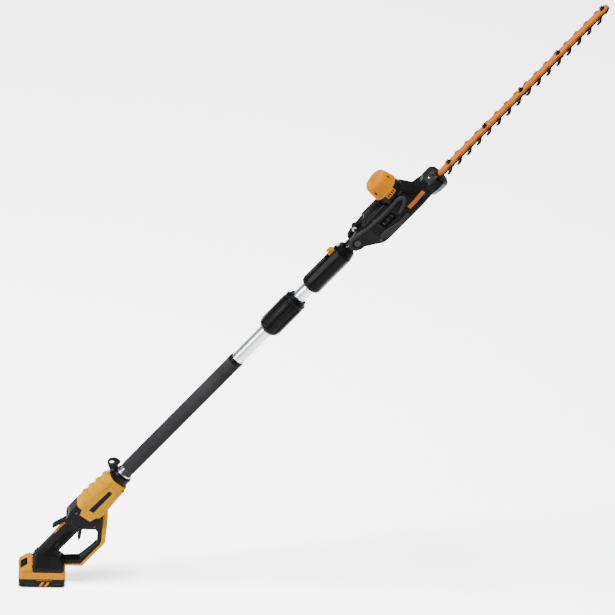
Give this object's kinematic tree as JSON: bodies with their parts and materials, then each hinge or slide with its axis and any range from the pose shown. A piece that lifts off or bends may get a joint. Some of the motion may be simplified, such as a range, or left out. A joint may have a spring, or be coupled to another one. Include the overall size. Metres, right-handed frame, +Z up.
{
  "type": "pole hedge trimmer",
  "caption": "Battery pole hedge trimmer: loop handle on a slide-in battery, two-piece pole with a coupling collar, tilting motor head and double-sided toothed blades.",
  "frame": {"origin": "centre of the flat underside of the battery pack, which the tool rests on", "axes": "+Z up from the battery underside, +X the way the pole leans, +Y sideways, square to the plane of the pole and the loop handle"},
  "size_m": [1.3515, 0.078, 1.7321],
  "materials": {
    "yellow_shell": "satin",
    "black_shell": "fine texture",
    "black_rubber": "matt",
    "foam": "matt, finely ribbed",
    "tube_silver": "drawn satin",
    "orange_cap": "satin",
    "yellow_battery": "satin",
    "bar_orange": "powder coat",
    "blade_steel": "dark ground",
    "black_steel": "black oxide",
    "bright_steel": "zinc plated",
    "core_steel": "lacquered laminations",
    "brass_parts": "bright",
    "board_green": "satin",
    "cell_wrap": "shrink wrapped",
    "lead_black": "matt"
  },
  "bodies": {
    "root": {"lower_tube": "tube_silver", "upper_tube": "tube_silver", "foam_sleeve": "foam", "pole_ferrule": "bright_steel", "pole_lead": "lead_black", "coupling_socket": "black_shell", "connector_half_near": "black_shell", "connector_half_far": "black_shell", "connector_end_ring": "black_shell", "knurled_plug": "bright_steel", "head_lock_spring": "bright_steel", "strap_clamp": "black_shell", "clamp_screw_and_nut": "black_steel", "front_cover_near": "yellow_shell", "front_cover_far": "yellow_shell", "rear_housing_near": "black_rubber", "rear_housing_far": "black_rubber", "loop_trim": "yellow_shell", "trigger_pin": "bright_steel", "lock_off_pin": "bright_steel", "grip_insert": "orange_cap", "handle_screws": "black_steel", "switch_module": "black_shell", "control_board": "board_green", "terminal_block": "brass_parts"},
    "battery": {"battery_upper_case": "yellow_battery", "battery_lower_case": "black_shell", "battery_cells": "cell_wrap", "battery_screws": "black_steel"},
    "battery_button": {"battery_release_button": "black_shell"},
    "trigger": {"trigger": "black_shell"},
    "lock_off": {"lock_off_lever": "black_shell"},
    "collar": {"coupling_collar": "black_shell"},
    "head_lock": {"head_lock_knob": "orange_cap", "head_lock_bar": "bright_steel"},
    "head": {"head_shell_near": "black_shell", "head_shell_far": "black_shell", "casing_screws": "black_steel", "yoke_screws": "bright_steel", "pivot_bolt_and_nut": "black_steel", "index_disc": "bright_steel", "vent_grilles": "black_shell", "motor_ring": "black_shell", "motor_cap": "orange_cap", "motor_stator": "core_steel", "rotor_bearings": "bright_steel", "crank_bearings": "bright_steel", "gearcase_plate": "tube_silver", "blade_bar": "bar_orange", "blade_bolts": "black_steel", "blade_nuts": "black_steel", "nose_screws": "black_steel", "blade_guard": "black_shell"},
    "rotor": {"motor_rotor": "core_steel", "cooling_fan": "black_shell", "pinion": "bright_steel"},
    "crank": {"crank_gear": "bright_steel", "crank_shaft": "bright_steel"},
    "upper_blade": {"upper_blade": "blade_steel"},
    "lower_blade": {"lower_blade": "blade_steel"}
  },
  "joints": [
    {"name": "battery_slide", "type": "slide", "parent": "root", "child": "battery", "axis": [-1, 0, 0], "range_m": [0, 0.11]},
    {"name": "battery_button_press", "type": "slide", "parent": "battery", "child": "battery_button", "axis": [0.5812, 0, -0.8137], "range_m": [0, 0.0025], "stiffness_N_per_m": 800, "springref_m": -0.002},
    {"name": "trigger_pull", "type": "hinge", "parent": "root", "child": "trigger", "pos_m": [0.09401, 0, 0.17959], "axis": [0, 1, 0], "range_deg": [0, 12], "stiffness_Nm_per_rad": 0.4, "springref_deg": -14.32},
    {"name": "lock_off_press", "type": "hinge", "parent": "root", "child": "lock_off", "pos_m": [0.06827, 0, 0.20525], "axis": [0, -1, 0], "range_deg": [0, 7], "stiffness_Nm_per_rad": 0.4, "springref_deg": -14.32},
    {"name": "collar_turn", "type": "hinge", "parent": "root", "child": "collar", "pos_m": [0.57592, 0, 0.84569], "axis": [0.6018, 0, 0.7986], "range_deg": [0, 270]},
    {"name": "head_lock_slide", "type": "slide", "parent": "root", "child": "head_lock", "axis": [-0.6018, 0, -0.7986], "range_m": [0, 0.008], "stiffness_N_per_m": 900, "springref_m": -0.004},
    {"name": "head_tilt", "type": "hinge", "parent": "root", "child": "head", "pos_m": [0.74383, 0, 1.06851], "axis": [0, 1, 0], "range_deg": [-90, 90]},
    {"name": "rotor_spin", "type": "hinge", "parent": "head", "child": "rotor", "pos_m": [0.8353, 0, 1.18991], "axis": [-0.7986, 0, 0.6018], "continuous": true},
    {"name": "crank_spin", "type": "hinge", "parent": "head", "child": "crank", "pos_m": [0.85456, 0, 1.21546], "axis": [-0.7986, 0, 0.6018], "continuous": true},
    {"name": "upper_blade_stroke", "type": "slide", "parent": "head", "child": "upper_blade", "axis": [0.6018, 0, 0.7986], "range_m": [-0.007, 0.007]},
    {"name": "lower_blade_stroke", "type": "slide", "parent": "head", "child": "lower_blade", "axis": [0.6018, 0, 0.7986], "range_m": [-0.007, 0.007]}
  ],
  "couplings": [
    {"joint": "crank_spin", "follows": "rotor_spin", "ratio": -0.23077},
    {"joint": "lower_blade_stroke", "follows": "upper_blade_stroke", "ratio": -1}
  ]
}
